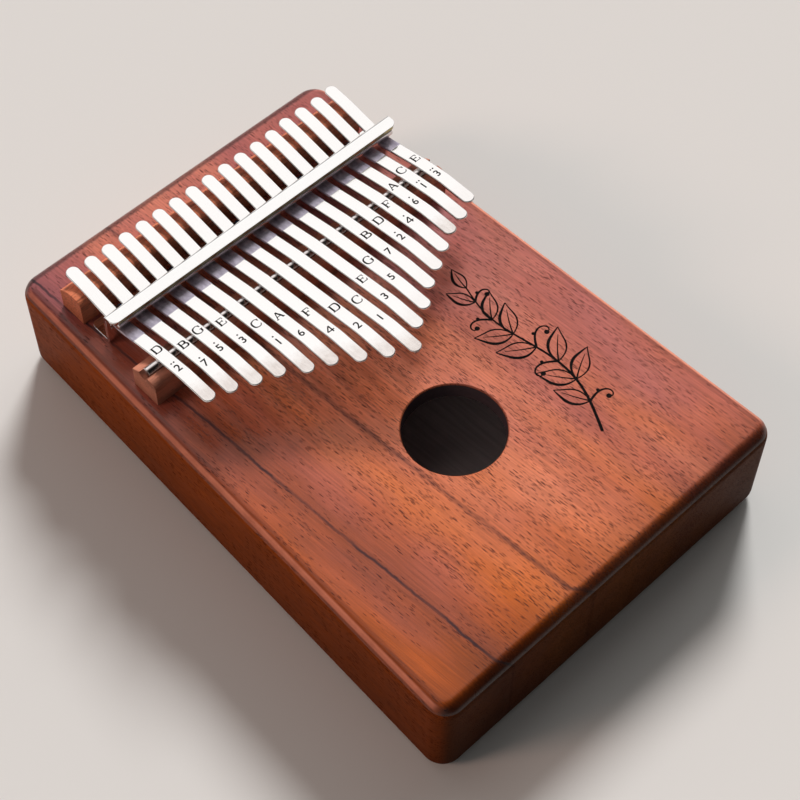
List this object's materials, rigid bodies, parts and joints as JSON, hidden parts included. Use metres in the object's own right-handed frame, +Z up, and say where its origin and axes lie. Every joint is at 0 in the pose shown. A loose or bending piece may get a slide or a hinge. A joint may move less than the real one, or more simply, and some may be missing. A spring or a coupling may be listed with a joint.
{
  "type": "thumb piano",
  "caption": "Hollow box thumb piano: steel tines in a V-shaped row over two wooden bridges, held down by a rod under a slotted Z bracket, with a round sound hole in front.",
  "frame": {"origin": "centre of the soundbox's flat base", "axes": "+X across the tines, from the player's left to right; +Y along the tines, away from the player to their fixed ends; +Z up, out of the soundbox's top"},
  "size_m": [0.1296, 0.185, 0.052],
  "materials": {
    "mahogany": "satin",
    "bridge_wood": "satin",
    "rod_steel": "polished",
    "bracket_chrome": "polished",
    "screw_steel": "polished",
    "spring_steel": "polished"
  },
  "bodies": {
    "soundbox": {"body_block": "mahogany", "back_panel": "mahogany", "front_bridge": "bridge_wood", "bridge_rod": "rod_steel", "rear_bridge": "bridge_wood", "pressure_rod": "rod_steel", "z_bracket": "bracket_chrome", "bracket_screws": "screw_steel"},
    "tine_01": {"tine_01": "spring_steel"},
    "tine_02": {"tine_02": "spring_steel"},
    "tine_03": {"tine_03": "spring_steel"},
    "tine_04": {"tine_04": "spring_steel"},
    "tine_05": {"tine_05": "spring_steel"},
    "tine_06": {"tine_06": "spring_steel"},
    "tine_07": {"tine_07": "spring_steel"},
    "tine_08": {"tine_08": "spring_steel"},
    "tine_09": {"tine_09": "spring_steel"},
    "tine_10": {"tine_10": "spring_steel"},
    "tine_11": {"tine_11": "spring_steel"},
    "tine_12": {"tine_12": "spring_steel"},
    "tine_13": {"tine_13": "spring_steel"},
    "tine_14": {"tine_14": "spring_steel"},
    "tine_15": {"tine_15": "spring_steel"},
    "tine_16": {"tine_16": "spring_steel"},
    "tine_17": {"tine_17": "spring_steel"}
  },
  "joints": [
    {"name": "tine_01_flex", "type": "hinge", "parent": "soundbox", "child": "tine_01", "pos_m": [-0.04826, 0.0362, 0.044], "axis": [1, 0, 0], "range_deg": [-2, 3.5], "stiffness_Nm_per_rad": 5.3, "deforming": ["tine_01"]},
    {"name": "tine_02_flex", "type": "hinge", "parent": "soundbox", "child": "tine_02", "pos_m": [-0.04199, 0.0362, 0.044], "axis": [1, 0, 0], "range_deg": [-2, 3.5], "stiffness_Nm_per_rad": 5.02, "deforming": ["tine_02"]},
    {"name": "tine_03_flex", "type": "hinge", "parent": "soundbox", "child": "tine_03", "pos_m": [-0.03572, 0.0362, 0.044], "axis": [1, 0, 0], "range_deg": [-2, 3.5], "stiffness_Nm_per_rad": 4.68, "deforming": ["tine_03"]},
    {"name": "tine_04_flex", "type": "hinge", "parent": "soundbox", "child": "tine_04", "pos_m": [-0.02945, 0.0362, 0.044], "axis": [1, 0, 0], "range_deg": [-2, 3.5], "stiffness_Nm_per_rad": 4.43, "deforming": ["tine_04"]},
    {"name": "tine_05_flex", "type": "hinge", "parent": "soundbox", "child": "tine_05", "pos_m": [-0.02318, 0.0362, 0.044], "axis": [1, 0, 0], "range_deg": [-2, 3.5], "stiffness_Nm_per_rad": 4.03, "deforming": ["tine_05"]},
    {"name": "tine_06_flex", "type": "hinge", "parent": "soundbox", "child": "tine_06", "pos_m": [-0.01691, 0.0362, 0.044], "axis": [1, 0, 0], "range_deg": [-2, 3.5], "stiffness_Nm_per_rad": 3.81, "deforming": ["tine_06"]},
    {"name": "tine_07_flex", "type": "hinge", "parent": "soundbox", "child": "tine_07", "pos_m": [-0.01064, 0.0362, 0.044], "axis": [1, 0, 0], "range_deg": [-2, 3.5], "stiffness_Nm_per_rad": 3.5, "deforming": ["tine_07"]},
    {"name": "tine_08_flex", "type": "hinge", "parent": "soundbox", "child": "tine_08", "pos_m": [-0.00437, 0.0362, 0.044], "axis": [1, 0, 0], "range_deg": [-2, 3.5], "stiffness_Nm_per_rad": 3.26, "deforming": ["tine_08"]},
    {"name": "tine_09_flex", "type": "hinge", "parent": "soundbox", "child": "tine_09", "pos_m": [0.0019, 0.0362, 0.044], "axis": [1, 0, 0], "range_deg": [-2, 3.5], "stiffness_Nm_per_rad": 3.07, "deforming": ["tine_09"]},
    {"name": "tine_10_flex", "type": "hinge", "parent": "soundbox", "child": "tine_10", "pos_m": [0.00817, 0.0362, 0.044], "axis": [1, 0, 0], "range_deg": [-2, 3.5], "stiffness_Nm_per_rad": 3.36, "deforming": ["tine_10"]},
    {"name": "tine_11_flex", "type": "hinge", "parent": "soundbox", "child": "tine_11", "pos_m": [0.01444, 0.0362, 0.044], "axis": [1, 0, 0], "range_deg": [-2, 3.5], "stiffness_Nm_per_rad": 3.57, "deforming": ["tine_11"]},
    {"name": "tine_12_flex", "type": "hinge", "parent": "soundbox", "child": "tine_12", "pos_m": [0.02071, 0.0362, 0.044], "axis": [1, 0, 0], "range_deg": [-2, 3.5], "stiffness_Nm_per_rad": 3.87, "deforming": ["tine_12"]},
    {"name": "tine_13_flex", "type": "hinge", "parent": "soundbox", "child": "tine_13", "pos_m": [0.02698, 0.0362, 0.044], "axis": [1, 0, 0], "range_deg": [-2, 3.5], "stiffness_Nm_per_rad": 4.14, "deforming": ["tine_13"]},
    {"name": "tine_14_flex", "type": "hinge", "parent": "soundbox", "child": "tine_14", "pos_m": [0.03325, 0.0362, 0.044], "axis": [1, 0, 0], "range_deg": [-2, 3.5], "stiffness_Nm_per_rad": 4.46, "deforming": ["tine_14"]},
    {"name": "tine_15_flex", "type": "hinge", "parent": "soundbox", "child": "tine_15", "pos_m": [0.03952, 0.0362, 0.044], "axis": [1, 0, 0], "range_deg": [-2, 3.5], "stiffness_Nm_per_rad": 4.81, "deforming": ["tine_15"]},
    {"name": "tine_16_flex", "type": "hinge", "parent": "soundbox", "child": "tine_16", "pos_m": [0.04579, 0.0362, 0.044], "axis": [1, 0, 0], "range_deg": [-2, 3.5], "stiffness_Nm_per_rad": 5.03, "deforming": ["tine_16"]},
    {"name": "tine_17_flex", "type": "hinge", "parent": "soundbox", "child": "tine_17", "pos_m": [0.05206, 0.0362, 0.044], "axis": [1, 0, 0], "range_deg": [-2, 3.5], "stiffness_Nm_per_rad": 5.46, "deforming": ["tine_17"]}
  ]
}
